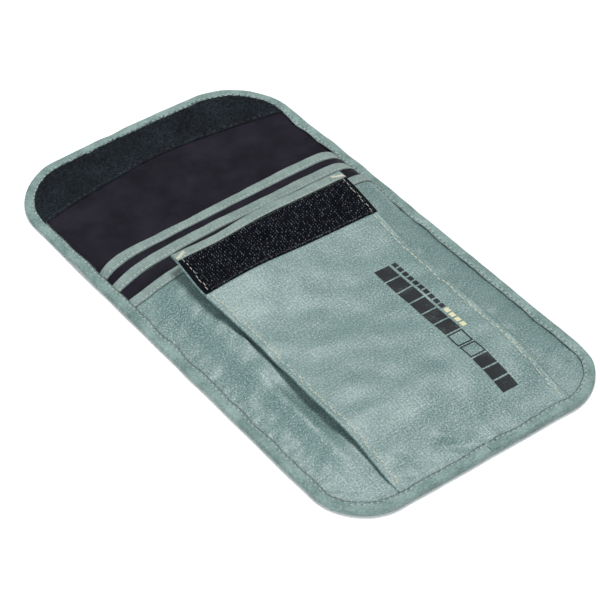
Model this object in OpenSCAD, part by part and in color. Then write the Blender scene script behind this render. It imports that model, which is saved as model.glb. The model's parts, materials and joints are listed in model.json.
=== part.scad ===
// Flat fabric travel wallet with a fold-over flap, lying open on its back.
// X is the width, Y runs from the bottom edge to the flap's end, Z is up.
// The origin is under the middle of the open wallet, on the surface it lies on.

/* [Outline] */
// Width of the wallet
wallet_w = 130; // [126:1:134]
// Length of the body, from the bottom edge to the fold
body_l = 178; // [176:1:184]
// Length of the flap, from the fold to its end
flap_l = 61; // [57:1:62]
// Radius of the two bottom corners
body_corner_r = 24; // [20:1:26]
// Radius of the two flap corners
flap_corner_r = 29.5; // [26:0.5:32]
// Radius of the slight bow along the flap's end
flap_bow_r = 420; // [380:10:800]

/* [Binding] */
// Width of the folded edge binding, seen from above
binding_w = 5.5; // [5:0.1:6]
// Thickness of the binding tape
binding_t = 0.5; // [0.4:0.05:0.5]

/* [Fabric] */
// Thickness of the coated outer fabric
outer_t = 0.4; // [0.3:0.05:0.4]
// Thickness of the shielding film between fabric and lining
shield_t = 0.2; // [0.1:0.05:0.2]
// Thickness of the thin lining
lining_t = 0.3; // [0.2:0.05:0.3]
// Thickness of a pocket panel
pocket_t = 0.4; // [0.3:0.05:0.4]
// Thickness of the pleated front fabric
front_t = 0.5; // [0.4:0.05:0.5]
// Thickness of the tape sewn along each pocket's lip
tape_t = 0.4; // [0.3:0.05:0.4]
// Width of the tape sewn along each pocket's lip
tape_w = 4.5; // [4:0.5:6]
// Thickness of a line of sewing thread
thread_t = 0.15; // [0.1:0.05:0.15]
// Width of a line of sewing thread
thread_w = 0.5; // [0.3:0.1:0.6]

/* [Pockets] */
// Height of the rear pocket's lip above the bottom edge
rear_lip_y = 169; // [167:1:170]
// Height of the middle pocket's lip
middle_lip_y = 160; // [158:1:161]
// Height of the front pocket's lip
front_lip_y = 149; // [148:1:150]
// How far each pocket stands open at its mouth
mouth_gap = 4.3; // [4.2:0.05:4.4]
// How flat the left half of the pockets is, higher is fuller
left_fullness = 2; // [1.8:0.1:3]
// How flat the right half of the pockets is, higher is fuller
right_fullness = 8; // [5:0.5:8]

/* [Front pocket] */
// Left edge of the front panel at the bottom seam
front_left_x = -39; // [-40:0.5:-38]
// Right edge of the front panel at the bottom seam
front_right_x = 43.5; // [42:0.5:46]
// How far the right edge leans out at the lip
front_lean = 2; // [0:0.5:4]
// Inner fold of the left pleat
left_fold_x = -28; // [-30:1:-26]
// Inner fold of the right pleat
right_fold_x = 34; // [32:1:36]
// Distance of the edge topstitch from the panel's edge
topstitch_in = 2.5; // [2:0.5:6]
// Length of the bar of tacking stitches at each end of the lip
bartack_l = 5; // [4:0.5:6]

/* [Closure] */
// Width of the hook strip, along the wallet
hook_w = 21; // [20:1:24]
// Thickness of the hook strip
hook_t = 1.2; // [0.8:0.1:1.2]
// Width of the loop strip, along the flap
loop_w = 19; // [17:0.5:19]
// Thickness of the loop strip
loop_t = 1.5; // [1:0.1:1.5]

/* [Print] */
// Left edge of the printed blocks
print_x = 22.5; // [20:0.5:24]
// Lower end of the printed blocks, above the bottom edge
print_y = 19.5; // [14:0.5:20]
// Width of the bold printed blocks
print_w = 7.5; // [5:0.5:8]
// Thickness of the transfer print
print_t = 0.08; // [0.05:0.01:0.1]

/* [Hidden] */
// The pieces, in the order in which the wallet is sewn

$fn = 96;

grey = "#9aaaa6";
pale_grey = "#aab6b2";
dark = "#2f2d37";
black = "#1b1b20";
foil = "#b9bcc0";
thread = "#c9c8b8";
ink = "#23262a";

// The open wallet's length, and the Y of its bottom edge, fold and flap end
open_l = body_l + flap_l;
bottom_y = -open_l / 2;
fold_y = bottom_y + body_l;
half_w = wallet_w / 2;

// Clearance between soft layers that lie on each other, and under the side panels
layer_gap = 0.05;
side_gap = 0.3;
// The layers' edges stop this far inside the binding's outer face
edge_in = binding_t + 0.1;
// The layers only rise inside this distance from the outer edge
seam_in = binding_w + 0.2;

// Heights of the layers where they are sewn together at the edge
back_z = binding_t;
back_shield_z = back_z + outer_t;
back_lining_z = back_shield_z + shield_t;
rear_z = back_lining_z + lining_t;
middle_z = rear_z + pocket_t;
side_z = middle_z + pocket_t;
body_cover_z = side_z + front_t;
body_edge_z = body_cover_z + binding_t;
flap_cover_z = rear_z;
flap_edge_z = flap_cover_z + binding_t;

// How far each layer rises above its edge at the mouths
rear_rise = mouth_gap;
middle_rise = 2 * mouth_gap;
side_rise = middle_rise + side_gap;
// Underside of the front pocket's lining at its bottom seam and at its lip
front_seam_z = body_cover_z + front_t + layer_gap;
front_mouth_z = side_z + 3 * mouth_gap;
front_rise = front_mouth_z - front_seam_z;
front_stack_t = lining_t + shield_t + outer_t;
front_seam_y = seam_in + front_t;

// The pockets fill over the bottom stretch, then again towards their mouths
low_share = 0.55;
low_run = 50;
mouth_start = 85;
mouth_run = 40;
front_mouth_start = 75;
front_mouth_run = 55;
// Middle share of the half width over which a pocket is flat across
flat_share = 0.25;

// Columns of the pocket grids: fixed ones near the middle and a spread to the edge
column_edge = 40;
fixed_columns = [-column_edge, left_fold_x, -21, -10, 4, 19, right_fold_x, column_edge];
spread_steps = 5;
corner_steps = 4;
row_steps = 12;
lip_steps = 3;

// The row of a pocket grid that lies under the binding
hidden_row_y = 2.5;

// Distances of the threads and the inner front layers from the edges they follow
thread_in = 1;
hook_in = 0.5;
inner_layer_in = 0.3;
bartack_turn = 20;

// Bold printed blocks: short ones, then hollow ones with a thin outline, then longer ones
short_blocks = 3;
short_block_l = 5.6;
hollow_blocks = 2;
hollow_block_l = 6.9;
hollow_line_w = 0.6;
long_blocks = 6;
long_block_l = 6.7;
block_space = 0.75;

// Row of small dashes beside the long blocks: pale ones, then dark ones
pale_dashes = 4;
dark_dashes = 10;
dash_l = 2.4;
dash_w = 2.2;
dash_pitch = 3.2;
dash_gap = 1.2;

hollow_row_at = print_y + short_blocks * (short_block_l + block_space);
long_row_at = hollow_row_at + hollow_blocks * (hollow_block_l + block_space);
dash_x = print_x + print_w + dash_gap;

// Columns from the inner to the outer fold of a pleat
pleat_columns = 3;

function smooth(t) = let (c = min(max(t, 0), 1)) c * c * (3 - 2 * c);
function mix(a, b, t) = a + (b - a) * t;

// Half width of the body's outline, moved in by inset, at a height y above the bottom edge
function body_half(y, inset) =
    let (r = body_corner_r - inset, down = max(body_corner_r - y, 0))
    half_w - body_corner_r + sqrt(max(r * r - min(down, r) * min(down, r), 0));

// Share of its full rise that a pocket has at a height y above the bottom edge
function fill_along(y) =
    low_share * smooth((y - seam_in) / low_run)
    + (1 - low_share) * smooth((y - mouth_start) / mouth_run);

// Share of its full rise that a pocket has at x, where it is sewn down at half
function fill_across(x, half) =
    let (v = (abs(x) / half - flat_share) / (1 - flat_share),
         power = x < 0 ? left_fullness : right_fullness)
    v <= 0 ? 1 : v >= 1 ? 0 : 1 - pow(v, power);

function pocket_z(x, y, rim_z, rise) =
    rim_z + rise * fill_along(y) * fill_across(x, body_half(y, seam_in));

// Underside of the front pocket's lining
function front_z(y) =
    front_seam_z + front_rise * (
        low_share * smooth((y - front_seam_y) / low_run)
        + (1 - low_share) * smooth((y - front_mouth_start) / front_mouth_run));

function front_right(y) = front_right_x + front_lean * y / front_lip_y;

// Rows of a pocket grid, from the bottom edge to top_y: two under the binding, a few
// round the corner, then evenly spaced to the front lip, which every pocket shares so
// that its layers stay parallel, and a few more to a higher lip
function pocket_rows(top_y) = concat(
    [edge_in, hidden_row_y],
    [for (k = [0:corner_steps])
        body_corner_r - (body_corner_r - seam_in) * cos(90 * k / corner_steps)],
    [for (k = [1:row_steps]) mix(body_corner_r, front_lip_y, k / row_steps)],
    top_y > front_lip_y
        ? [for (k = [1:lip_steps]) mix(front_lip_y, top_y, k / lip_steps)]
        : []);

// Rows of the pleats and of the front pocket's profile: the same, above the bottom seam
front_rows = concat(
    [front_seam_y],
    [for (y = pocket_rows(front_lip_y)) if (y > front_seam_y) y]);

// Columns of a pocket grid on the row at height y
function pocket_columns(y) =
    let (sewn = body_half(max(y, seam_in), seam_in), edge = body_half(y, edge_in))
    concat(
        [-edge],
        [for (k = [spread_steps:-1:1]) -mix(column_edge, sewn, k / spread_steps)],
        fixed_columns,
        [for (k = [1:spread_steps]) mix(column_edge, sewn, k / spread_steps)],
        [edge]);

// Faces of a closed sheet whose lower points are a grid of rows and columns,
// followed by the same grid for the upper points
function sheet_faces(cols, rows) =
    let (n = cols * rows, last = (rows - 1) * cols)
    concat(
        [for (r = [0:rows - 2], c = [0:cols - 2])
            let (a = r * cols + c)
            each [[a, a + cols + 1, a + cols], [a, a + 1, a + cols + 1]]],
        [for (r = [0:rows - 2], c = [0:cols - 2])
            let (a = n + r * cols + c)
            each [[a, a + cols, a + cols + 1], [a, a + cols + 1, a + 1]]],
        [for (c = [0:cols - 2]) [c, n + c, n + c + 1, c + 1]],
        [for (c = [0:cols - 2])
            [last + c, last + c + 1, n + last + c + 1, n + last + c]],
        [for (r = [0:rows - 2])
            let (a = r * cols)
            [a + cols, n + a + cols, n + a, a]],
        [for (r = [0:rows - 2])
            let (a = r * cols + cols - 1)
            [a, n + a, n + a + cols, a + cols]]);

// A sheet of thickness t on a grid of [x, y, z] rows
module sheet(grid, t) {
    lower = [for (row = grid, p = row) p];
    upper = [for (p = lower) p + [0, 0, t]];
    translate([0, bottom_y, 0])
        polyhedron(concat(lower, upper), sheet_faces(len(grid[0]), len(grid)));
}

// A curved pocket layer over the given rows and a span of the columns
module pocket_sheet(rows, first, last, rim_z, rise, t) {
    sheet(
        [for (y = rows)
            let (xs = pocket_columns(y))
            [for (k = [first:last]) [xs[k], y, pocket_z(xs[k], y, rim_z, rise)]]],
        t);
}

last_column = len(fixed_columns) + 2 * spread_steps + 1;
left_fold_column = spread_steps + 2;
right_fold_column = last_column - spread_steps - 2;

// The last stretch of a pocket, under its lip tape
function lip_rows(top_y) = [top_y - tape_w, top_y - tape_w / 2, top_y];

// A tape along a pocket's lip, between two columns
module lip_tape(top_y, first, last, rim_z, rise) {
    color(pale_grey)
        pocket_sheet(lip_rows(top_y), first, last, rim_z + layer_gap, rise, tape_t);
}

// A line of thread along the lower edge of a lip tape
module lip_thread(top_y, first, last, rim_z, rise) {
    y = top_y - tape_w + 2 * thread_w;
    color(thread)
        pocket_sheet([y - thread_w / 2, y + thread_w / 2], first, last,
            rim_z + 2 * layer_gap + tape_t, rise, thread_t);
}

// Outline of the body, open at the fold, moved in by inset on the other three sides
module body_outline(inset) {
    r = body_corner_r;
    translate([0, bottom_y]) {
        translate([-half_w + inset, r])
            square([wallet_w - 2 * inset, body_l - r]);
        translate([-half_w + r, inset])
            square([wallet_w - 2 * r, r]);
        for (side = [-1, 1])
            translate([side * (half_w - r), r])
                circle(r - inset);
    }
}

// Outline of the flap, open at the fold, moved in by inset on the other three sides
module flap_outline(inset) {
    r = flap_corner_r;
    corner_x = half_w - r;
    bow_y = fold_y + flap_l - flap_bow_r;
    corner_y = bow_y + sqrt(pow(flap_bow_r - r, 2) - corner_x * corner_x);
    reach = 2 * flap_bow_r / (corner_y - bow_y);
    intersection() {
        translate([-half_w, fold_y])
            square([wallet_w, flap_l]);
        union() {
            translate([-half_w + inset, fold_y])
                square([wallet_w - 2 * inset, corner_y - fold_y]);
            for (side = [-1, 1])
                translate([side * corner_x, corner_y])
                    circle(r - inset);
            flap_bow(inset, bow_y, [corner_x, corner_y - bow_y] * reach);
        }
    }
}

// The part of the flap between its two corners, ended by the slight bow
module flap_bow(inset, bow_y, ray) {
    translate([0, bow_y])
        intersection() {
            circle(flap_bow_r - inset, $fn = 720);
            polygon([[0, 0], ray, [-ray.x, ray.y]]);
        }
}

// A strip along the edge of the body, between two insets, open at the fold
module body_edge_strip(outer, inner, z, t) {
    translate([0, 0, z])
        linear_extrude(t)
            difference() {
                body_outline(outer);
                body_outline(inner);
                translate([-half_w + inner, fold_y - 1])
                    square([wallet_w - 2 * inner, 2]);
            }
}

// The same strip along the edge of the flap
module flap_edge_strip(outer, inner, z, t) {
    translate([0, 0, z])
        linear_extrude(t)
            difference() {
                flap_outline(outer);
                flap_outline(inner);
                translate([-half_w + inner, fold_y - 1])
                    square([wallet_w - 2 * inner, 2]);
            }
}

// A layer of the front pocket: the front profile raised by lift, with thickness t,
// cut to the plan shape given as children
module front_layer(lift, t) {
    lower = [for (y = front_rows) [bottom_y + y, front_z(y) + lift]];
    profile = concat(
        lower,
        [for (k = [len(lower) - 1:-1:0]) lower[k] + [0, t]]);
    intersection() {
        translate([-half_w, 0, 0])
            rotate([90, 0, 90])
                linear_extrude(wallet_w)
                    polygon(profile);
        linear_extrude(2 * front_mouth_z)
            children();
    }
}

// Plan of the front panel between two heights, moved in by inset at its sides
module front_plan(low_y, high_y, inset) {
    translate([0, bottom_y])
        polygon([
            [front_left_x + inset, low_y],
            [front_right(low_y) - inset, low_y],
            [front_right(high_y) - inset, high_y],
            [front_left_x + inset, high_y]]);
}

// Plan of a line of thread along one side of the front panel
module side_thread_plan(side) {
    low = front_seam_y + thread_in;
    high = front_lip_y - tape_w - hook_w - thread_in;
    at = topstitch_in;
    x0 = side < 0 ? front_left_x + at : front_right(low) - at;
    x1 = side < 0 ? front_left_x + at : front_right(high) - at;
    translate([0, bottom_y])
        polygon([
            [x0 - thread_w / 2, low], [x0 + thread_w / 2, low],
            [x1 + thread_w / 2, high], [x1 - thread_w / 2, high]]);
}

// Plan of the rectangle of thread that holds a strip
module thread_loop_plan(low_y, high_y, inset) {
    in = thread_in + thread_w;
    difference() {
        front_plan(low_y + thread_in, high_y - thread_in, inset);
        front_plan(low_y + in, high_y - in, inset + thread_w);
    }
}

// Back of the body
module back_panel() {
    color(grey)
        translate([0, 0, back_z])
            linear_extrude(outer_t)
                body_outline(edge_in);
}

module back_shield() {
    color(foil)
        translate([0, 0, back_shield_z])
            linear_extrude(shield_t)
                body_outline(edge_in);
}

module back_lining() {
    color(dark)
        translate([0, 0, back_lining_z])
            linear_extrude(lining_t)
                body_outline(edge_in);
}

// Rear and middle pockets
module rear_pocket() {
    color(dark)
        pocket_sheet(pocket_rows(rear_lip_y), 0, last_column, rear_z, rear_rise, pocket_t);
}

module rear_pocket_tape() {
    lip_tape(rear_lip_y, 1, last_column - 1, rear_z + pocket_t, rear_rise);
}

module rear_tape_stitches() {
    lip_thread(rear_lip_y, 2, last_column - 2, rear_z + pocket_t, rear_rise);
}

module middle_pocket() {
    color(dark)
        pocket_sheet(pocket_rows(middle_lip_y), 0, last_column, middle_z, middle_rise, pocket_t);
}

module middle_pocket_tape() {
    lip_tape(middle_lip_y, 1, last_column - 1, middle_z + pocket_t, middle_rise);
}

module middle_tape_stitches() {
    lip_thread(middle_lip_y, 2, last_column - 2, middle_z + pocket_t, middle_rise);
}

// Sides of the front pocket, from the binding to the inner folds of the pleats
module left_side_panel() {
    color(grey)
        pocket_sheet(pocket_rows(front_lip_y), 0, left_fold_column, side_z, side_rise, front_t);
}

module left_side_tape() {
    lip_tape(front_lip_y, 1, left_fold_column - 1, side_z + front_t, side_rise);
}

module left_side_tape_stitches() {
    lip_thread(front_lip_y, 2, left_fold_column - 1, side_z + front_t, side_rise);
}

module right_side_panel() {
    color(grey)
        pocket_sheet(pocket_rows(front_lip_y), right_fold_column, last_column,
            side_z, side_rise, front_t);
}

module right_side_tape() {
    lip_tape(front_lip_y, right_fold_column + 1, last_column - 1, side_z + front_t, side_rise);
}

module right_side_tape_stitches() {
    lip_thread(front_lip_y, right_fold_column + 1, last_column - 2, side_z + front_t, side_rise);
}

// A pleat, from the inner fold on the side panel up to the front panel's edge
module pleat(side) {
    inner_x = side < 0 ? left_fold_x : right_fold_x;
    color(grey)
        sheet(
            [for (y = front_rows)
                let (outer_x = side < 0 ? front_left_x : front_right(y),
                     low = pocket_z(inner_x, y, side_z, side_rise) + front_t + layer_gap,
                     high = front_z(y) - front_t + layer_gap)
                [for (c = [0:pleat_columns])
                    let (t = side < 0 ? 1 - c / pleat_columns : c / pleat_columns)
                    [mix(inner_x, outer_x, t), y, mix(low, high, t)]]],
            front_t - 2 * layer_gap);
}

module left_pleat() {
    pleat(-1);
}

module right_pleat() {
    pleat(1);
}

// Front of the pleated pocket: lining, shield and outer fabric
module front_lining() {
    color(dark)
        front_layer(0, lining_t)
            front_plan(front_seam_y, front_lip_y, inner_layer_in);
}

module front_shield() {
    color(foil)
        front_layer(lining_t, shield_t)
            front_plan(front_seam_y, front_lip_y, inner_layer_in);
}

module front_panel() {
    color(grey)
        front_layer(lining_t + shield_t, outer_t)
            front_plan(front_seam_y, front_lip_y, 0);
}

module front_lip_tape() {
    color(pale_grey)
        front_layer(front_stack_t, tape_t)
            front_plan(front_lip_y - tape_w, front_lip_y, 0);
}

module front_lip_stitches() {
    low = front_lip_y - tape_w + thread_w;
    color(thread)
        front_layer(front_stack_t + tape_t, thread_t)
            front_plan(low, low + thread_w, bartack_l + 2 * thread_in);
}

// A bar of dense stitches across the end of the lip tape
module bartack(x, turn) {
    color(thread)
        front_layer(front_stack_t + tape_t, thread_t)
            translate([x, bottom_y + front_lip_y - tape_w / 2])
                rotate(turn)
                    square([bartack_l, 2 * thread_w], center = true);
}

module left_bartack() {
    bartack(front_left_x + thread_in + bartack_l / 2, bartack_turn);
}

module right_bartack() {
    bartack(front_right(front_lip_y) - thread_in - bartack_l / 2, -bartack_turn);
}

module left_topstitch() {
    color(thread)
        front_layer(front_stack_t, thread_t)
            side_thread_plan(-1);
}

module right_topstitch() {
    color(thread)
        front_layer(front_stack_t, thread_t)
            side_thread_plan(1);
}

// Hook strip under the lip tape, and its thread
module hook_strip() {
    color(black)
        front_layer(front_stack_t, hook_t)
            front_plan(front_lip_y - tape_w - hook_w, front_lip_y - tape_w, hook_in);
}

module hook_strip_stitches() {
    color(ink)
        front_layer(front_stack_t + hook_t, thread_t)
            thread_loop_plan(front_lip_y - tape_w - hook_w, front_lip_y - tape_w,
                hook_in + 2 * thread_in);
}

// Plan of a row of printed blocks, the first of them at a height y above the bottom edge
module block_row(y, count, length, pitch, x, width) {
    for (k = [0:count - 1])
        translate([x, bottom_y + y + k * pitch])
            square([width, length]);
}

// Plan of the thin outlines of the hollow blocks
module hollow_row(y) {
    pitch = hollow_block_l + block_space;
    difference() {
        block_row(y, hollow_blocks, hollow_block_l, pitch, print_x, print_w);
        block_row(y + hollow_line_w, hollow_blocks, hollow_block_l - 2 * hollow_line_w, pitch,
            print_x + hollow_line_w, print_w - 2 * hollow_line_w);
    }
}

// Transfer print: bold blocks along the right side, and a row of small dashes beside them
module print_bars() {
    color(ink)
        front_layer(front_stack_t, print_t) {
            block_row(print_y, short_blocks, short_block_l, short_block_l + block_space,
                print_x, print_w);
            hollow_row(hollow_row_at);
            block_row(long_row_at, long_blocks, long_block_l, long_block_l + block_space,
                print_x, print_w);
            block_row(long_row_at + pale_dashes * dash_pitch, dark_dashes, dash_l, dash_pitch,
                dash_x, dash_w);
        }
}

module print_line() {
    color(thread)
        front_layer(front_stack_t, print_t)
            block_row(long_row_at, pale_dashes, dash_l, dash_pitch, dash_x, dash_w);
}

// Folded tape round the edge of the body: lower leg, outer wall and upper leg
module body_binding() {
    color(pale_grey) {
        body_edge_strip(0, binding_w, 0, binding_t);
        body_edge_strip(0, binding_t, 0, body_edge_z);
        body_edge_strip(0, binding_w, body_cover_z, binding_t);
    }
}

module body_binding_stitches() {
    color(thread)
        body_edge_strip(binding_w - 2 * thread_w, binding_w - thread_w, body_edge_z, thread_t);
}

// Where the two ends of the binding tape overlap at the bottom edge
module binding_join() {
    color(pale_grey)
        translate([0, bottom_y, body_edge_z])
            cube([tape_w, binding_w - 3 * thread_w, tape_t]);
}

// Flap: outer fabric, shield and lining
module flap_panel() {
    color(grey)
        translate([0, 0, back_z])
            linear_extrude(outer_t)
                flap_outline(edge_in);
}

module flap_shield() {
    color(foil)
        translate([0, 0, back_shield_z])
            linear_extrude(shield_t)
                flap_outline(edge_in);
}

module flap_lining() {
    color(dark)
        translate([0, 0, back_lining_z])
            linear_extrude(lining_t)
                flap_outline(edge_in);
}

// Loop strip along the flap's end, inside the binding
module loop_plan(inset) {
    intersection() {
        flap_outline(seam_in + inset);
        translate([-half_w, fold_y + flap_l - binding_w - loop_w + inset])
            square([wallet_w, 2 * loop_w]);
    }
}

module loop_strip() {
    color(black)
        translate([0, 0, flap_cover_z])
            linear_extrude(loop_t)
                loop_plan(0);
}

module loop_strip_stitches() {
    color(ink)
        translate([0, 0, flap_cover_z + loop_t])
            linear_extrude(thread_t)
                difference() {
                    loop_plan(thread_in);
                    loop_plan(thread_in + thread_w);
                }
}

// Folded tape round the edge of the flap
module flap_binding() {
    color(pale_grey) {
        flap_edge_strip(0, binding_w, 0, binding_t);
        flap_edge_strip(0, binding_t, 0, flap_edge_z);
        flap_edge_strip(0, binding_w, flap_cover_z, binding_t);
    }
}

module flap_binding_stitches() {
    color(thread)
        flap_edge_strip(binding_w - 2 * thread_w, binding_w - thread_w, flap_edge_z, thread_t);
}

back_panel();
back_shield();
back_lining();
rear_pocket();
rear_pocket_tape();
rear_tape_stitches();
middle_pocket();
middle_pocket_tape();
middle_tape_stitches();
left_side_panel();
left_side_tape();
left_side_tape_stitches();
right_side_panel();
right_side_tape();
right_side_tape_stitches();
left_pleat();
right_pleat();
front_lining();
front_shield();
front_panel();
front_lip_tape();
front_lip_stitches();
left_bartack();
right_bartack();
left_topstitch();
right_topstitch();
hook_strip();
hook_strip_stitches();
print_bars();
print_line();
body_binding();
body_binding_stitches();
binding_join();
flap_panel();
flap_shield();
flap_lining();
loop_strip();
loop_strip_stitches();
flap_binding();
flap_binding_stitches();
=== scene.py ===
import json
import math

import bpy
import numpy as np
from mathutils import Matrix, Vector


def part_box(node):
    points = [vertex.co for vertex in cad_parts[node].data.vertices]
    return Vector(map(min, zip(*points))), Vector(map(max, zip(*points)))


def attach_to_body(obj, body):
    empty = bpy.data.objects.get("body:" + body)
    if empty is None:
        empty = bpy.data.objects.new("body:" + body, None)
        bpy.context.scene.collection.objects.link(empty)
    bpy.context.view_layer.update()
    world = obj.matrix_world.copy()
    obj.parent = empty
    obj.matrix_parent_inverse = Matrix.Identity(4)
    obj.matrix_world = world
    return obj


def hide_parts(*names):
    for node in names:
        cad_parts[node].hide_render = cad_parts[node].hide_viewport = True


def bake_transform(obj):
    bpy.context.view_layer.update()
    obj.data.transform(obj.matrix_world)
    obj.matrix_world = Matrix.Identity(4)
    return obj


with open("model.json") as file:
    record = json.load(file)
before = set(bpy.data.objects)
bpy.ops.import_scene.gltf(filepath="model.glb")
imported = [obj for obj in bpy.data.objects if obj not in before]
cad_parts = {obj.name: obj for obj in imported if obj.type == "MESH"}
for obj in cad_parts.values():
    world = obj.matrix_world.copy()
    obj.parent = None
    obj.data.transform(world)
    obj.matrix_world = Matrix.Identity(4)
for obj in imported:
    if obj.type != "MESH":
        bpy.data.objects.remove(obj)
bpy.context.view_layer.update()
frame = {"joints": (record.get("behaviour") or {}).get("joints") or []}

# Looks for a flat fabric travel wallet that lies open on its back.
# Lengths are millimetres until MM turns them into metres. A place on the wallet is x, from
# its middle line, and s, from its bottom edge along the fabric; z is its height. A side is
# -1 on the left and 1 on the right.

MM = 0.001
# One unit of texture space, in millimetres
UV_UNIT = 100


def corners(node):
    """Lowest and highest corner of a CAD node."""
    low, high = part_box(node)
    return np.array(low) / MM, np.array(high) / MM


body_low, body_high = corners("body_binding")
front_low, front_high = corners("front_panel")
bars_low = corners("print_bars")[0]
dash_low, dash_high = corners("print_line")

# How far the front panel sinks per millimetre of s when its joint presses it flat
flatten = next(joint for joint in frame["joints"] if joint["name"] == "front_pocket_flatten")
PRESS = math.tan(math.radians(abs(min(flatten["range_deg"]))))

# The outline: half width, fold and flap end, and the radii of the corners
BOTTOM_Y = body_low[1]
HALF_W = body_high[0]
FOLD = body_high[1] - BOTTOM_Y
END = corners("flap_binding")[1][1] - BOTTOM_Y
CORNER_R = 24.0
FLAP_R = 29.5
# The flap narrows a little, and its end bows out between the corners
TAPER = 1.1
BOW = 1.5
TOP = END - BOW
# The binding's width on one face, and the panels' edge inside it
BINDING_W = 4.6
EDGE_IN = 0.8

# The pockets' lips, and the front panel's place
REAR_LIP = corners("rear_pocket")[1][1] - BOTTOM_Y
MIDDLE_LIP = corners("middle_pocket")[1][1] - BOTTOM_Y
FRONT_LIP = front_high[1] - BOTTOM_Y
FRONT_LEFT = front_low[0]
FRONT_LEAN = 2.0
FRONT_RIGHT = front_high[0] - FRONT_LEAN
LEFT_FOLD = corners("left_pleat")[1][0]
RIGHT_FOLD = corners("right_pleat")[0][0]
TOPSTITCH_IN = 2.6
HOOK_LOW, HOOK_HIGH = (corner[1] - BOTTOM_Y for corner in corners("hook_strip"))
LOOP_LOW = corners("loop_strip")[0][1] - BOTTOM_Y
# The lip tapes' width, how far inside the outline they end, and where they are sewn
TAPE_W = np.ptp(corners("middle_pocket_tape"), axis=0)[1]
SEAM_IN = 3.5
STITCH_IN = 0.9

# Thickness of the fabrics, and the heights of their upper faces where they are sewn together
FABRIC = 0.22
THIN = 0.18
FILM = 0.08
TAPE = 0.3
FRONT_STACK = FABRIC + FILM + THIN + 0.06
# The roll at the front panel's folded edges: its radius, and how far round it goes
EDGE_ROLL = 0.5
EDGE_TURN = 150
BACK_Z = 0.72
SHIELD_Z = 0.82
LINING_Z = 1.04
REAR_Z = 1.28
MIDDLE_Z = 1.52
SIDE_Z = 1.80
FRONT_Z = 2.40
RIM_SIDE = 2.75
RIM_BOTTOM = 3.05
RIM_FLAP = 1.95


# ---- shape of the fabric

def smooth(t):
    t = np.clip(t, 0, 1)
    return t * t * (3 - 2 * t)


def rise(t, start, run):
    """From 0 at the start to 1 after the run."""
    return smooth((t - start) / run)


def mix(a, b, t):
    return a + (b - a) * t


def columns(*values):
    return np.stack(values, -1)


def hill(t, centre, reach):
    """A soft hill of height 1 along one direction."""
    return np.exp(-((t - centre) / reach) ** 2)


def bump(x, s, x0, s0, across, along):
    """A round hill of height 1 at a place."""
    return np.exp(-((x - x0) / across) ** 2 - ((s - s0) / along) ** 2)


def crease(x, s, x0, s0, x1, s1, width):
    """A soft ridge of height 1 between two places, which fades at both ends."""
    dx, ds = x1 - x0, s1 - s0
    length = math.hypot(dx, ds)
    t = ((x - x0) * dx + (s - s0) * ds) / length ** 2
    off = ((x - x0) * ds - (s - s0) * dx) / length
    return hill(off, 0, width) * smooth(4 * t) * smooth(4 * (1 - t))


def ripple(a, b, size, seed):
    """Smooth unevenness of about -1 to 1, with hills of the given size."""
    random = np.random.default_rng(seed)
    total = 0.0
    for _ in range(8):
        turn, phase = random.uniform(0, 2 * math.pi, 2)
        pitch = size * random.uniform(0.7, 1.6)
        total = total + np.sin(2 * math.pi * (a * math.cos(turn) + b * math.sin(turn)) / pitch + phase)
    return total / 3.2


def wobble(run, size, seed):
    """Unevenness along one direction only."""
    return ripple(run, 0 * run, size, seed)


def half_width(s, inset):
    """Half width of the outline, moved in by inset, before the end is bowed."""
    return np.minimum(*(HALF_W - r + np.sqrt((r - inset) ** 2 - np.clip(past, 0, r - inset) ** 2)
                        for r, past in ((CORNER_R, CORNER_R - s), (FLAP_R, s - (TOP - FLAP_R)))))


def place(points):
    """Turns x, s, z into x, y, z: tapered, with the flap's end bowed."""
    x, s, z = points[..., 0], points[..., 1], points[..., 2]
    narrowed = 1 - TAPER / HALF_W * np.clip((s - CORNER_R) / (TOP - FLAP_R - CORNER_R), 0, 1)
    share = np.maximum(1 - (x / HALF_W) ** 2, 0)
    bowed = BOW * share ** 1.5 * rise(s, FOLD, TOP - FOLD)
    return columns(x * narrowed, s + bowed + BOTTOM_Y, z)


def inside_binding(x, s):
    """How far a place is inside the binding, across the wallet."""
    return half_width(np.maximum(s, BINDING_W + 0.01), BINDING_W) - np.abs(x)


def reach(inside, run, power=1.0):
    """Share of its full rise that a pocket has this far inside."""
    return 1 - np.exp(-(np.maximum(inside, 0) / run) ** power)


def fold_rise(s):
    """How far the cloth rises over the soft fold between the pouch and the flap."""
    return 0.9 * hill(s, FOLD, 7)


def back_wave(x, s):
    """Slight unevenness of the back and the flap, with their fold."""
    edge = smooth((half_width(s, BINDING_W) - np.abs(x)) / 14)
    ends = rise(s, BINDING_W, 14) * rise(TOP - BINDING_W, s, 14)
    return fold_rise(s) + edge * ends * (0.22 * ripple(x, s, 42, 3) + 0.16)


def left_share(x):
    return rise(30, x, 60)


def bundle_z(x, s):
    """Height of the front pocket's sides over the two pockets behind them."""
    inside = inside_binding(x, s)
    filled = rise(s, 6, 42)
    mouth = rise(s, 100, 49)
    left = (6.4 * filled + 1.9 * mouth) * reach(inside, 22, 1.25)
    right = (4.3 * filled + 3.0 * mouth) * reach(inside, 8 - 5.9 * mouth, 1.15 - 0.3 * mouth)
    lifted = 1.5 * rise(x, -54, 9) - dive(s) * rise(x, -46.5, 7)
    lifted = lifted * smooth(s / 34) * rise(FRONT_LIP - 3, s, 10)
    return SIDE_Z + mix(right, left + lifted, left_share(x))


def dive(s):
    """How far the left side sinks where it turns into the pleat."""
    return 3.0 * hill(s, 55, 22)


def spread(x, s):
    """Extra space between two pocket layers away from their sewn edges."""
    return 0.22 * reach(inside_binding(x, s), 5) * rise(s, 6, 20)


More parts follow.
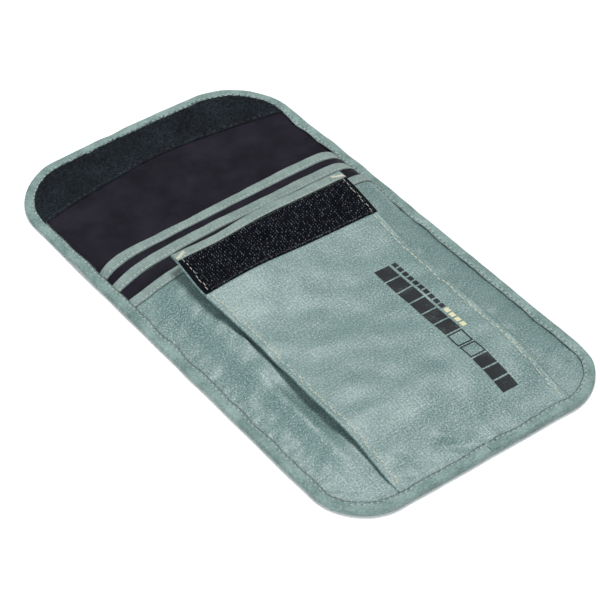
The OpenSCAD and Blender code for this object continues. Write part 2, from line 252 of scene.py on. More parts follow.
def middle_z(x, s):
    """Upper face of the middle pocket."""
    inside = inside_binding(x, s)
    below = side_z(x, np.minimum(s, FRONT_LIP)) - (SIDE_Z - MIDDLE_Z) - spread(x, s)
    lip = MIDDLE_Z + mix(8.0 * reach(inside, 4.2), 8.1 * reach(inside, 11.5), left_share(x))
    return mix(below, lip, rise(s, FRONT_LIP, MIDDLE_LIP - FRONT_LIP))


def rear_z(x, s):
    """Upper face of the rear pocket, which stays under the middle one."""
    inside = inside_binding(x, s)
    below = middle_z(x, np.minimum(s, MIDDLE_LIP)) - (MIDDLE_Z - REAR_Z) - spread(x, s)
    lip = REAR_Z + mix(8.1 * reach(inside, 4.0, 1.1), 6.4 * reach(inside, 4.6), left_share(x))
    return mix(below, lip, rise(s, MIDDLE_LIP, REAR_LIP - MIDDLE_LIP))


def front_left(s):
    """Left edge of the front panel, which bows out a little below the hook strip."""
    bowed = 1.8 * hill(s, 127, 15) - 0.3 * hill(s, 98, 9)
    return FRONT_LEFT + 0.25 * np.sin(s / 11) * smooth(s / 40) - bowed


def front_right(s):
    return FRONT_RIGHT + FRONT_LEAN * s / FRONT_LIP


def front_z(x, s):
    """Upper face of the front panel."""
    left = 7.2 * rise(s, 5, 36) + 5.0 * rise(s, 85, 62)
    right = 5.6 * rise(s, 5, 38) + 7.3 * rise(s, 100, 46)
    t = np.clip((x - FRONT_LEFT) / (front_right(s) - FRONT_LEFT), 0, 1)
    crown = 0.7 * rise(s, 6, 30) * 4 * t * (1 - t)
    bends = 1.6 * bump(x, s, -17, 122, 20, 15) - 1.4 * bump(x, s, -19, 150, 13, 9)
    bends = bends + 0.5 * bump(x, s, 5, 146, 14, 8)
    return FRONT_Z + mix(left, right, t) + crown + bends + front_folds(x, s)


def front_folds(x, s):
    """Swells and creases of the front panel, and the channels along its seams."""
    seams = (hill(x - front_left(s), TOPSTITCH_IN, 0.7)
             + hill(x - front_right(s), -TOPSTITCH_IN, 0.7))
    body = rise(s, 6, 12) * rise(HOOK_LOW, s, 18)
    uneven = 0.26 * ripple(x, s, 36, 11) + 0.2 * ripple(x, s, 14, 12)
    swells = sum(high * bump(x, s, x0, s0, 11, 7)
                 for x0, s0, high in ((-14, 27, 0.5), (4, 24, 0.35), (22, 21, 0.4),
                                      (-24, 110, 0.5), (4, 104, 0.35)))
    fold = sum(high * crease(x, s, *line) for high, line in (
        (0.55, (-14, 19, 1, 9, 2.2)), (-0.4, (-16, 15, -1, 6, 1.8)),
        (0.3, (12, 17, 24, 9, 2.0)), (0.3, (-33, 21, -26, 8, 2.0))))
    gathers = 0.16 * np.exp(-np.maximum(s - 5, 0) / 5) * rise(s, 4, 3) * wobble(x, 6, 13)
    return body * (uneven + swells) + fold + gathers - 0.16 * seams * rise(s, 8, 8)


def puckers(x, s, inside):
    """Small gathers beside the seam of the binding."""
    along = np.where(s > CORNER_R, s, np.abs(x) - s)
    return 0.24 * np.exp(-inside / 3.5) * smooth(inside / 1.2) * wobble(along, 4.6, 23)


def side_folds(x, s):
    """Swells and creases of the front pocket's sides, which run across them."""
    inside = inside_binding(x, s)
    free = smooth(inside / 7) * rise(s, 8, 12) * rise(FRONT_LIP - 8, s, 10)
    swells = sum(0.55 * bump(x, s, x0, s0, 10, 8)
                 for x0, s0 in ((-38, 108), (-44, 83), (-45, 57), (-48, 33), (-38, 122)))
    creases = sum(0.4 * crease(x, s, 46, s0 - 2, 60, s0 + 1, 2.4) for s0 in (102, 87, 77, 58, 47, 31))
    valley = 0.5 * crease(x, s, -57, 70, -40, 75, 2.6) + 0.4 * crease(x, s, -56, 47, -42, 43, 2.2)
    across = 0.26 * ripple(0.35 * x, s, 17, 21) + 0.15 * ripple(0.6 * x, s, 8, 22)
    return free * (across + swells - valley) + creases * smooth(inside / 2) + puckers(x, s, inside)


def side_z(x, s):
    """The sides' upper face, which leaves the front panel room to be pressed flat."""
    z = bundle_z(x, s) + side_folds(x, s)
    beside = 1 - smooth((np.minimum(x - front_left(s), front_right(s) - x) + 1.6) / 1.6)
    room = front_z(x, s) - 2 * EDGE_ROLL - FABRIC - PRESS * s - 0.1 + 6 * beside
    return mix(z, np.minimum(z, room), rise(s, 9, 8))


# ---- meshes

def unit(vectors):
    return vectors / np.linalg.norm(vectors, axis=-1, keepdims=True)


def upright(count, way=1.0):
    """One vertical direction for each of a number of points."""
    return np.tile([0.0, 0.0, way], (count, 1))


def add_object(name, data):
    made = bpy.data.objects.new(name, data)
    bpy.context.scene.collection.objects.link(made)
    return made


def attach(piece, slot, body, *nodes):
    """Hides the CAD nodes that a piece stands for, and hangs it on its body if it has one. slot, its
    finish, is not used.
    """
    if nodes:
        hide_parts(*nodes)
    if body:
        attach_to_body(piece, body)


def rows_between(low, high, step):
    return np.linspace(low, high, max(2, int(round((high - low) / step)) + 1))


def rounded_rows(inset, top, step):
    """Rows from the bottom edge up: closer together where the corners turn."""
    turns = lambda r: np.linspace(0, math.pi / 2, int((r - inset) * 1.6 / step))
    corner = CORNER_R - (CORNER_R - inset) * np.cos(turns(CORNER_R))[:-1]
    if top < TOP - FLAP_R:
        return np.concatenate([corner, rows_between(CORNER_R, top, step)])
    end = TOP - FLAP_R + (FLAP_R - inset) * np.sin(turns(FLAP_R))[1:]
    return np.concatenate([corner, rows_between(CORNER_R, TOP - FLAP_R, step), end])


def make_mesh(name, points, faces, uv, material):
    """One object from points, faces, and one texture place per point."""
    mesh = bpy.data.meshes.new(name + "_look")
    mesh.from_pydata((points * MM).tolist(), [], faces.tolist())
    layer = mesh.uv_layers.new(name="cloth")
    corner_points = np.zeros(len(mesh.loops), int)
    mesh.loops.foreach_get("vertex_index", corner_points)
    layer.data.foreach_set("uv", (uv[corner_points] / UV_UNIT).astype(np.float32).ravel())
    mesh.polygons.foreach_set("use_smooth", np.ones(len(mesh.polygons), bool))
    mesh.set_sharp_from_angle(angle=math.radians(50))
    mesh.materials.append(material)
    mesh.update()
    return add_object(name + "_look", mesh)


def grid_faces(rows, cols):
    """Faces of a closed thin sheet: an upper grid of points, then a lower one."""
    index = np.arange(rows * cols).reshape(rows, cols)
    a, b = index[:-1, :-1].ravel(), index[:-1, 1:].ravel()
    c, d = index[1:, 1:].ravel(), index[1:, :-1].ravel()
    n = rows * cols
    faces = [columns(a, b, c, d), columns(a, d, c, b) + n]
    rim = np.concatenate([index[0, :], index[1:, -1], index[-1, -2::-1], index[-2:0:-1, 0]])
    after = np.roll(rim, -1)
    faces.append(columns(rim, rim + n, after + n, after))
    return np.concatenate(faces)


def surface_normals(points):
    normal = np.cross(np.gradient(points, axis=1), np.gradient(points, axis=0))
    return normal / np.maximum(np.linalg.norm(normal, axis=2, keepdims=True), 1e-9)


def sheet_piece(name, flat, thickness, material, uv=None):
    """A closed thin sheet whose upper or outer face is the grid of x, s, z points."""
    points = place(flat)
    under = points - surface_normals(points) * thickness
    uv = (flat[..., :2] if uv is None else uv).reshape(-1, 2)
    both = np.concatenate([points.reshape(-1, 3), under.reshape(-1, 3)])
    return make_mesh(name, both, grid_faces(*flat.shape[:2]), np.concatenate([uv, uv]), material)


def panel_grid(rows, left, right, count, height):
    """Grid of a panel between its left and right edges on each row."""
    s = rows[:, None] * np.ones((1, count))
    t = np.linspace(0, 1, count)[None, :]
    x = mix(left(rows)[:, None], right(rows)[:, None], t)
    return columns(x, s, height(x, s))


def full_width(top, count, height):
    """Grid over the wallet's whole width, from its bottom edge up."""
    edge = lambda s: half_width(s, EDGE_IN)
    return panel_grid(rounded_rows(EDGE_IN, top, 1.5), lambda s: -edge(s), edge, count, height)


def rolled(flat):
    """Adds a small roll to both sides of a panel, where its fabric folds back under it."""
    steps = np.radians(np.linspace(0, EDGE_TURN, 7))[1:]
    rolls = []
    for side, edge in ((-1, flat[:, :1]), (1, flat[:, -1:])):
        x = edge[..., 0] + side * EDGE_ROLL * np.sin(steps)
        z = edge[..., 2] - EDGE_ROLL * (1 - np.cos(steps))
        rolls.append(columns(x, np.repeat(edge[..., 1], len(steps), 1), z))
    return np.concatenate([rolls[0][:, ::-1], flat, rolls[1]], 1)


def steepness(surface, x, s):
    """How much further apart two layers lie, measured upwards, where they slope sideways."""
    slope = (surface(x + 0.3, s) - surface(x - 0.3, s)) / 0.6
    return np.minimum(np.sqrt(1 + slope ** 2), 2.2)


def lip_fold(xs, lip, surface, panel_t):
    """Outer face of a tape folded over a lip: up the front, over, and down the back."""
    half = panel_t / 2 + TAPE + 0.04
    turns = np.radians(np.linspace(90, -90, 9))
    ahead = np.linspace(-TAPE_W, 0, 7)[:-1]
    along = np.concatenate([ahead, 0.35 * np.cos(turns), ahead[::-1]])[:, None]
    above = np.concatenate([np.full(6, 1.0), np.sin(turns), np.full(6, -1.0)])[:, None]
    x = xs[None, :] * np.ones_like(along)
    s = lip + along + 0.12 * wobble(x, 21, 5)
    under = np.minimum(s, lip)
    z = surface(x, under) - panel_t / 2 + half * steepness(surface, x, under) * above
    z = z - 0.1 * hill(along + TAPE_W, STITCH_IN, 0.7) * np.sign(above)
    z = z + 0.05 * ripple(x, s, 5, 6) * (above > 0)
    steps = np.hypot(np.diff(along, axis=0), np.diff(above, axis=0) * half)
    run = np.concatenate([[[0.0]], np.cumsum(steps, axis=0)])
    return columns(x, s, z), columns(x, run * np.ones_like(x))


def distances(line):
    """How far along a line each of its points is."""
    return np.concatenate([[0], np.cumsum(np.linalg.norm(np.diff(line, axis=0), axis=1))])


def resample(line, step):
    """Points along a line at an even spacing."""
    run = distances(line)
    at = np.arange(step / 2, run[-1] - step / 2, step)
    return columns(*(np.interp(at, run, values) for values in line.T))


def tube_faces(rings, sides):
    """Faces between rings of points, which look outwards when the rings turn to the right."""
    start = sides * np.arange(rings - 1)[:, None]
    a = (start + np.arange(sides)).ravel()
    b = (start + (np.arange(sides) + 1) % sides).ravel()
    return columns(a, b, b + sides, a + sides)


def copies(faces, points, count):
    """The faces of many equal small meshes, each with this many points."""
    return (faces[None] + points * np.arange(count)[:, None, None]).reshape(-1, 4)


def stitch_row(name, centres, ahead, up, material, length=2.2, width=0.42, height=0.26):
    """A row of single stitches: each is a short thread that dips into the cloth at its ends."""
    count = len(centres)
    ahead = unit(ahead)
    aside = unit(np.cross(up, ahead))
    up = np.cross(ahead, aside)
    stations = np.array([-0.5, -0.36, -0.12, 0.12, 0.36, 0.5])
    girth = np.array([0.3, 0.85, 1.0, 1.0, 0.85, 0.3])
    lift = np.array([-0.5, 0.05, 0.3, 0.3, 0.05, -0.5])
    ring = np.linspace(0, 2 * math.pi, 7)[:-1]
    local_ahead = np.repeat(stations * length, 6)
    local_side = (girth[:, None] * np.cos(ring) * width / 2).ravel()
    local_up = (girth[:, None] * np.sin(ring) * height / 2 + lift[:, None] * height / 2).ravel()
    points = centres[:, None] + sum(amount[:, None] * way[:, None] for amount, way in (
        (local_ahead, ahead), (local_side, aside), (local_up, up)))
    caps = np.array([[0, 5, 4, 1], [1, 4, 3, 2], [30, 31, 34, 35], [31, 32, 33, 34]])
    faces = copies(np.concatenate([tube_faces(6, 6), caps]), 36, count)
    uv = columns(np.tile(local_ahead, count), np.tile(np.repeat(np.arange(6.0), 6), count))
    return make_mesh(name, points.reshape(-1, 3), faces, uv, material)


def surface_stitches(name, line, surface, lift, material, pitch, seed, wander=0.1, **sizes):
    """Stitches along a line of x, s places on a surface of heights."""
    random = np.random.default_rng(seed)
    even = resample(line, pitch)
    x, s = (even + random.normal(0, wander, even.shape)).T
    ahead = np.gradient(even, axis=0) + random.normal(0, 0.12, even.shape)
    delta = 0.3
    slope_x = (surface(x + delta, s) - surface(x - delta, s)) / (2 * delta)
    slope_s = (surface(x, s + delta) - surface(x, s - delta)) / (2 * delta)
    centre = place(columns(x, s, surface(x, s) + lift))
    way = columns(ahead[:, 0], ahead[:, 1], slope_x * ahead[:, 0] + slope_s * ahead[:, 1])
    up = columns(-slope_x, -slope_s, np.ones_like(x))
    return stitch_row(name, centre, way, up, material, **sizes)


# ---- materials

class Graph:
    """A material's nodes, made in short lines."""

    def __init__(self, name):
        self.material = bpy.data.materials.new(name)
        self.material.use_nodes = True
        self.tree = self.material.node_tree
        self.surface = self.tree.nodes["Principled BSDF"]
        self.at = self.cloth()

    def node(self, kind, inputs, **settings):
        made = self.tree.nodes.new("ShaderNode" + kind)
        for key, value in settings.items():
            setattr(made, key, value)
        for key, value in inputs.items():
            self.feed(made.inputs[key], value)
        return made

    def feed(self, socket, value):
        """Joins a value to a socket: another node's output, a number, or a colour."""
        if isinstance(value, bpy.types.NodeSocket):
            self.tree.links.new(value, socket)
        else:
            socket.default_value = (*value, 1) if isinstance(value, tuple) else value

    def cloth(self):
        """Texture places in millimetres along the cloth."""
        places = self.node("UVMap", {}, uv_map="cloth").outputs[0]
        return self.node("VectorMath", {0: places, "Scale": UV_UNIT}, operation="SCALE").outputs[0]

    def math(self, operation, a, b=0.0):
        return self.node("Math", {0: a, 1: b}, operation=operation).outputs[0]

    def noise(self, size, detail=3.0, roughness=0.55):
        scaled = self.node("Mapping", {"Vector": self.at, "Scale": [1 / size] * 3}).outputs[0]
        settings = {"Vector": scaled, "Scale": 1, "Detail": detail, "Roughness": roughness}
        return self.node("TexNoise", settings).outputs[0]

    def span(self, value, low, high, new_low=0.0, new_high=1.0):
        return self.node("MapRange", {0: value, 1: low, 2: high, 3: new_low, 4: new_high}).outputs[0]

    def rough(self, tone, low, high):
        """Roughness that goes from low to high with a noise."""
        return self.span(tone, 0.3, 0.7, low, high)

    def blend(self, factor, a, b):
        return self.node("Mix", {0: factor, 6: a, 7: b}, data_type="RGBA").outputs[2]

    def along(self, axis):
        """Distance along the cloth's own x or y."""
        return self.node("SeparateXYZ", {0: self.at}).outputs[axis]

    def wave(self, pitch, axis):
        return self.math("SINE", self.math("MULTIPLY", self.along(axis), math.pi / pitch))

    def threads(self, pitch, axis):
        """Round threads side by side, from 0 between them to 1 on top."""
        return self.math("ABSOLUTE", self.wave(pitch, axis))

    def weave(self, pitch):
        """A plain weave: threads both ways that pass over each other in turn."""
        return self.math("ABSOLUTE", self.math("MULTIPLY", self.wave(pitch, 0), self.wave(pitch, 1)))

    def relief(self, *layers):
        """Bumps on top of each other, each a (height, distance in millimetres) pair."""
        normal = None
        for height, distance in layers:
            made = self.node("Bump", {"Strength": 1, "Distance": distance * MM, "Height": height})
            if normal:
                self.feed(made.inputs["Normal"], normal)
            normal = made.outputs[0]
        self.feed(self.surface.inputs["Normal"], normal)

    def finish(self, color, roughness, **others):
        for key, value in {"Base Color": color, "Roughness": roughness, **others}.items():
            self.feed(self.surface.inputs[key.replace("_", " ")], value)
        return self.material


def coated_nylon():
    """Satin coated ripstop: fine weave, a grid of thicker threads with highlights painted in spots along
    it, and a mottled sheen.
    """
    g = Graph("coated_nylon")
    grid = g.math("MAXIMUM", *(g.math("POWER", g.threads(1.5, axis), 9) for axis in (0, 1)))
    cloudy = g.noise(12, 4, 0.65)
    speckle = g.noise(0.7, 2, 0.7)
    shade = g.blend(g.span(cloudy, 0.34, 0.66), (0.058, 0.113, 0.108), (0.094, 0.160, 0.153))
    shade = g.blend(g.span(speckle, 0.42, 0.66), shade, (0.205, 0.305, 0.295))
    # Painted highlight: spots along the grid threads are coloured lighter, as if they caught the light
    painted_grid_highlight = g.math("MULTIPLY", grid, g.span(speckle, 0.52, 0.64))
    color = g.blend(g.math("MULTIPLY", painted_grid_highlight, 0.45), shade, (0.36, 0.47, 0.455))
    g.relief((g.noise(15, 1.5, 0.45), 0.75), (g.noise(4, 2, 0.5), 0.12), (grid, 0.03),
             (speckle, 0.045), (g.weave(0.42), 0.02))
    return g.finish(color, g.rough(cloudy, 0.43, 0.35), Sheen_Weight=0.05, Sheen_Roughness=0.35,
                    Specular_IOR_Level=0.5)


def ribbed_tape(name, dark, light, ribs):
    """Binding and lip tape: fine ribs across it, worn a little lighter in places."""
    g = Graph(name)
    worn = g.noise(9, 4, 0.6)
    speckle = g.noise(0.9, 2, 0.6)
    tone = g.math("ADD", g.math("MULTIPLY", worn, 0.5), g.math("MULTIPLY", speckle, 0.5))
    color = g.blend(g.span(tone, 0.38, 0.62), dark, light)
    g.relief((worn, 0.5), (g.noise(2.2, 2, 0.5), 0.12), (g.threads(ribs, 0), 0.07),
             (g.threads(0.45, 1), 0.05))
    return g.finish(color, g.rough(worn, 0.55, 0.42), Sheen_Weight=0.05, Specular_IOR_Level=0.35)


def dark_lining():
    """Thin dark lining cloth with a soft purple cast."""
    g = Graph("dark_lining")
    cloudy = g.noise(18, 4, 0.6)
    color = g.blend(g.span(cloudy, 0.35, 0.65), (0.007, 0.006, 0.010), (0.014, 0.012, 0.019))
    g.relief((g.noise(6, 4, 0.6), 0.45), (g.weave(0.35), 0.03))
    return g.finish(color, g.rough(cloudy, 0.62, 0.5), Sheen_Weight=0.01, Specular_IOR_Level=0.05)


def metal_film():
    g = Graph("metal_film")
    crinkle = g.noise(4, 5, 0.6)
    color = g.blend(crinkle, (0.55, 0.56, 0.58), (0.78, 0.79, 0.81))
    g.relief((crinkle, 0.3), (g.threads(0.8, 0), 0.02))
    return g.finish(color, g.rough(crinkle, 0.38, 0.22), Metallic=0.9)


def twisted_thread(name, dark, light):
    g = Graph(name)
    slant = g.math("ADD", g.math("MULTIPLY", g.along(0), 14), g.along(1))
    twist = g.math("ABSOLUTE", g.math("SINE", slant))
    tone = g.noise(3, 2, 0.5)
    color = g.blend(g.math("MULTIPLY", g.math("ADD", twist, tone), 0.55), dark, light)
    g.relief((twist, 0.05),)
    return g.finish(color, g.rough(tone, 0.7, 0.5), Sheen_Weight=0.2)


def hook_plastic():
    """The black woven tape that the hooks stand on."""
    g = Graph("hook_plastic")
    worn = g.noise(7, 3, 0.6)
    color = g.blend(g.span(worn, 0.35, 0.65), (0.0014, 0.002, 0.004), (0.004, 0.005, 0.008))
    g.relief((g.weave(0.6), 0.06), (g.noise(0.5), 0.03))
    return g.finish(color, g.rough(worn, 0.5, 0.38), Specular_IOR_Level=0.02)


def glint_painted_hooks():
    """Stiff black hooks; random spots of them are painted light grey as glints."""
    g = Graph("glint_painted_hooks")
    # Painted highlight: noise picks spots that are coloured light grey, standing for glints on the hooks
    painted_glint = g.span(g.noise(1.0, 2, 0.7), 0.50, 0.62)
    color = g.blend(painted_glint, (0.002, 0.003, 0.006), (0.20, 0.23, 0.25))
    g.relief((g.noise(0.3), 0.03),)
    return g.finish(color, g.rough(g.noise(5), 0.55, 0.42), Specular_IOR_Level=0.1)


def loop_pile():
    """Brushed black pile with a bluish sheen where it lies over: the shader's sheen, and lighter bluish
    patches painted into its colour.
    """
    g = Graph("loop_pile")
    brushed = g.noise(16, 4, 0.65)
    tuft = g.noise(0.9, 3, 0.7)
    tone = g.math("ADD", g.math("MULTIPLY", brushed, 0.65), g.math("MULTIPLY", tuft, 0.35))
    # Partly painted sheen: the colour's lighter bluish end, in brushed patches, stands for sheen; the
    # shader's bluish sheen is real
    color = g.blend(g.span(tone, 0.4, 0.68), (0.003, 0.003, 0.005), (0.012, 0.020, 0.027))
    g.relief((brushed, 0.4), (tuft, 0.35))
    return g.finish(color, 0.85, Sheen_Weight=0.12, Sheen_Roughness=0.4,
                    Sheen_Tint=(0.4, 0.62, 0.75), Specular_IOR_Level=0.2)


def transfer_print(name, ink, worn_ink):
    """A thin transfer print, a little cracked and worn."""
    g = Graph(name)
    cracks = g.noise(0.8, 4, 0.7)
    worn = g.noise(9, 3, 0.6)
    color = g.blend(g.span(g.math("MULTIPLY", cracks, worn), 0.27, 0.42), ink, worn_ink)
    g.relief((cracks, 0.05), (g.weave(0.42), 0.02))
    return g.finish(color, g.rough(worn, 0.55, 0.42), Specular_IOR_Level=0.12)


nylon = coated_nylon()
binding_tape = ribbed_tape("binding_tape", (0.085, 0.148, 0.137), (0.240, 0.338, 0.320), 0.7)
lip_tape = ribbed_tape("lip_tape", (0.125, 0.180, 0.168), (0.235, 0.305, 0.285), 0.55)
lining = dark_lining()
film = metal_film()
pale_thread = twisted_thread("pale_thread", (0.38, 0.40, 0.31), (0.70, 0.71, 0.58))
worn_thread = twisted_thread("worn_thread", (0.24, 0.26, 0.20), (0.60, 0.61, 0.49))
grey_thread = twisted_thread("grey_thread", (0.26, 0.33, 0.31), (0.50, 0.57, 0.53))
# Dark grey thread: the binding join's stitches, and rows that paint shadow lines and the shade of needle
# holes
painted_shade_and_join_thread = twisted_thread("painted_shade_and_join_thread", (0.030, 0.042, 0.042), (0.075, 0.095, 0.092))
dark_thread = twisted_thread("dark_thread", (0.006, 0.007, 0.009), (0.018, 0.020, 0.023))
hook_black = hook_plastic()
hook_painted_glints = glint_painted_hooks()
pile_black = loop_pile()
dark_ink = transfer_print("dark_ink", (0.014, 0.017, 0.019), (0.05, 0.06, 0.06))
pale_ink = transfer_print("pale_ink", (0.58, 0.56, 0.36), (0.36, 0.40, 0.33))


# ---- back and flap

def joined_flap(piece):
    """The fabric is continuous over the fold; this bakes the piece's transform into its mesh."""
    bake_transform(piece)


def make_back():
    """The outer fabric, film and lining, each one sheet from the bottom edge to the flap's end."""
    for kind, rim_z, thickness, material, slot, part in (
            ("fabric", BACK_Z, FABRIC, nylon, "outer_nylon", "panel"),
            ("film", SHIELD_Z, FILM, film, "shield_film", "shield"),
            ("lining", LINING_Z, THIN, lining, "lining_nylon", "lining")):
        flat = full_width(TOP - EDGE_IN, 88, lambda x, s: rim_z + back_wave(x, s))
        piece = sheet_piece("back_and_flap_" + kind, flat, thickness, material)
        attach(piece, slot, None, "back_" + part, "flap_" + part)
        joined_flap(piece)


# ---- pockets

def taped_lip(name, left, right, lip, surface, panel_t, body, stitch_name, seed):
    """A tape folded over a lip, its small stitches, and a painted shadow line below it, made as a nearly
    unbroken row of dark thread.
    """
    xs = rows_between(left, right, 1.2)
    row = lambda up: columns(xs[1:-1], np.full(len(xs) - 2, lip - TAPE_W + up))
    flat, uv = lip_fold(xs, lip, surface, panel_t)
    tape = sheet_piece(name, flat, TAPE, lip_tape, uv)
    top = lambda x, s: surface(x, s) + (TAPE + 0.06) * steepness(surface, x, s) - 0.04
    thread = surface_stitches(stitch_name, row(STITCH_IN), top, 0.02, grey_thread, pitch=1.9,
                              wander=0.08, seed=seed, length=1.3)
    # Painted shadow: a nearly continuous row of dark stitches stands for the shadow under the tape's
    # lower edge
    shadow_row = surface_stitches(name + "_painted_shadow", row(-0.15), surface, 0.08, painted_shade_and_join_thread, pitch=1.9,
                            wander=0.04, seed=seed, length=1.8, width=0.3, height=0.3)
    attach(tape, "lip_tape", body, name)
    attach(thread, "sewing_thread", body, stitch_name)
    attach(shadow_row, "dark_thread", body)


def make_pockets():
    """The rear and middle pockets, whose mouths wave a little."""
    wavy_rear = lambda x, s: rear_z(x, s) + 0.12 * ripple(x, s, 16, 32) * rise(s, 140, 20)
    wavy_middle = lambda x, s: middle_z(x, s) + 0.12 * ripple(x, s, 14, 31) * rise(s, 130, 20)
    for which, lip, surface, seed in (("rear", REAR_LIP, wavy_rear, 41),
                                      ("middle", MIDDLE_LIP, wavy_middle, 42)):
        name = which + "_pocket"
        piece = sheet_piece(name, full_width(lip, 110, surface), THIN, lining)
        attach(piece, "lining_nylon", "pouch", name)
        taped_lip(name + "_tape", SEAM_IN - HALF_W, HALF_W - SEAM_IN, lip, surface, THIN, "pouch",
                  which + "_tape_stitches", seed)


# ---- front pocket

HAND = {-1: "left", 1: "right"}
FOLD_X = {-1: LEFT_FOLD, 1: RIGHT_FOLD}
FRONT_EDGE = {-1: front_left, 1: front_right}


def make_side(side):
    """One side panel, under the front pocket's edge, and its stretch of lip."""
    name = HAND[side] + "_side"
    fold_x = FOLD_X[side]
    edge = lambda s: side * half_width(s, EDGE_IN)
    fold = lambda s: np.full_like(s, fold_x)
    ends = (edge, fold)[::-side]
    flat = panel_grid(rounded_rows(EDGE_IN, FRONT_LIP, 1.2), *ends, 40, side_z)
    piece = sheet_piece(name + "_panel", flat, FABRIC, nylon)
    attach(piece, "outer_nylon", "pouch", name + "_panel")
    # The tape ends under the front panel
    left, right = sorted((side * (HALF_W - SEAM_IN), fold_x + side * 2.5))
    taped_lip(name + "_tape", left, right, FRONT_LIP, side_z, FABRIC, "pouch",
              name + "_tape_stitches", 43 + side)


def make_pleat(side):
    """The folded side of the front pocket, from its inner fold up to the front panel."""
    name = HAND[side] + "_pleat"
    inner_x, end_x = FOLD_X[side], (FRONT_LEFT if side < 0 else FRONT_RIGHT)
    rows = rows_between(6.5, FRONT_LIP, 1.5)
    outer_x = FRONT_EDGE[side](rows) - 0.5 * side
    t = (np.linspace(0, 1, 16) ** 1.6)[None, :]
    low = side_z(inner_x, rows)[:, None] + FABRIC + 0.12
    high = np.maximum(front_z(outer_x, rows)[:, None] - 1.0, low + 0.02)
    x = mix(inner_x, outer_x[:, None], t)
    s = rows[:, None] * np.ones_like(t)
    z = mix(low, high, t ** 0.4) + 0.15 * ripple(0.4 * x, s, 13, 50 + side) * t * (1 - t) * 4
    piece = sheet_piece(name, columns(x, s, z)[:, ::side], FABRIC, nylon)
    attach(piece, "outer_nylon", None, name)
    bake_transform(piece)


def front_patch(left, right, low, high, lift, step, surface=front_z):
    """Grid of a patch that lies on the front panel, at a height above it."""
    rows = rows_between(low, high, step)
    count = int((FRONT_RIGHT - FRONT_LEFT) / step) + 2
    return panel_grid(rows, left, right, count, lambda x, s: surface(x, s) + lift)


def make_front():
    """The front panel with its rolled edges, the layers under it, and its lip tape."""
    bottom, layer_in, layer_up = 1.6, 0.6, 5
    left = lambda s: front_left(s) + EDGE_ROLL
    right = lambda s: front_right(s) - EDGE_ROLL
    panel = rolled(front_patch(left, right, bottom, FRONT_LIP, 0, 1.0))
    layer = lambda lift: front_patch(lambda s: left(s) + layer_in, lambda s: right(s) - layer_in,
                                     bottom + layer_up, FRONT_LIP, lift, 1.5)
    for name, flat, thick, material, slot in (
            ("front_panel", panel, FABRIC, nylon, "outer_nylon"),
            ("front_shield", layer(-FABRIC - 0.03), FILM, film, "shield_film"),
            ("front_lining", layer(-FABRIC - FILM - 0.06), THIN, lining, "lining_nylon")):
        piece = sheet_piece(name, flat, thick, material)
        attach(piece, slot, "front_pocket", name)
    taped_lip("front_lip_tape", FRONT_LEFT + 0.2, front_right(FRONT_LIP) - 0.2, FRONT_LIP, front_z,
              FRONT_STACK, "front_pocket", "front_lip_stitches", 44)


def make_bartack(side):
    """A short dense bar of zigzag stitches across the end of the lip tape."""
    name = HAND[side] + "_bartack"
    x0 = (FRONT_LEFT if side < 0 else front_right(FRONT_LIP)) - 3 * side
    count, high = 15, TAPE + 0.11
    t = np.linspace(-1, 1, count)
    zigzag = np.where(np.arange(count) % 2, 1, -1)
    x, s = x0 + 2.3 * t, FRONT_LIP - TAPE_W / 2 - side * 0.9 * t + 0.11 * zigzag
    centre = place(columns(x, s, front_z(x, s) + high))
    ahead = columns(np.full(count, 0.25), zigzag, np.zeros(count))
    piece = stitch_row(name, centre, ahead, upright(count), pale_thread, length=1.9, width=0.36)
    attach(piece, "sewing_thread", "front_pocket", name)


def make_topstitch(side):
    """The stitches beside the front panel's folded edge, which go on over the hook strip."""
    name = HAND[side] + "_topstitch"
    runs = []
    for low, high, lift, width, length, wander, thread in (
            (7.5, HOOK_LOW - 0.4, 0.1, 0.6, 1.7, 0.3, worn_thread),
            (HOOK_LOW + 0.6, HOOK_HIGH, 0.74, 0.28, 2.0, 0.2, pale_thread)):
        s = rows_between(low, high, 1.0)
        line = columns(FRONT_EDGE[side](s) - side * TOPSTITCH_IN, s)
        runs.append(surface_stitches(name, line, front_z, lift, thread, pitch=2.5, wander=wander,
                                     seed=60 + side, length=length, width=width, height=0.36))
    attach(joined(name, runs), "sewing_thread", "front_pocket", name)


def block_row(start, count, length, space, low_x, high_x):
    """Corners of a row of printed blocks along the panel: low x, high x, low s, high s."""
    pitch = length + space
    return [(low_x, high_x, start + k * pitch, start + k * pitch + length) for k in range(count)]


def outline_of(block, line):
    """The four thin bars of a hollow block."""
    x0, x1, s0, s1 = block
    return [(x0, x1, s0, s0 + line), (x0, x1, s1 - line, s1),
            (x0, x0 + line, s0 + line, s1 - line), (x1 - line, x1, s0 + line, s1 - line)]


def print_piece(node, blocks, material, slot):
    """Many flat patches of ink as one piece."""
    parts = []
    for x0, x1, s0, s1 in blocks:
        count = max(2, int((x1 - x0) / 1.2) + 1)
        flat = panel_grid(rows_between(s0, s1, 1.0), lambda s: np.full_like(s, x0),
                          lambda s: np.full_like(s, x1), count, lambda x, s: front_z(x, s) + 0.07)
        parts.append(sheet_piece(node, flat, 0.05, material))
    attach(joined(node, parts), slot, "front_pocket", node)


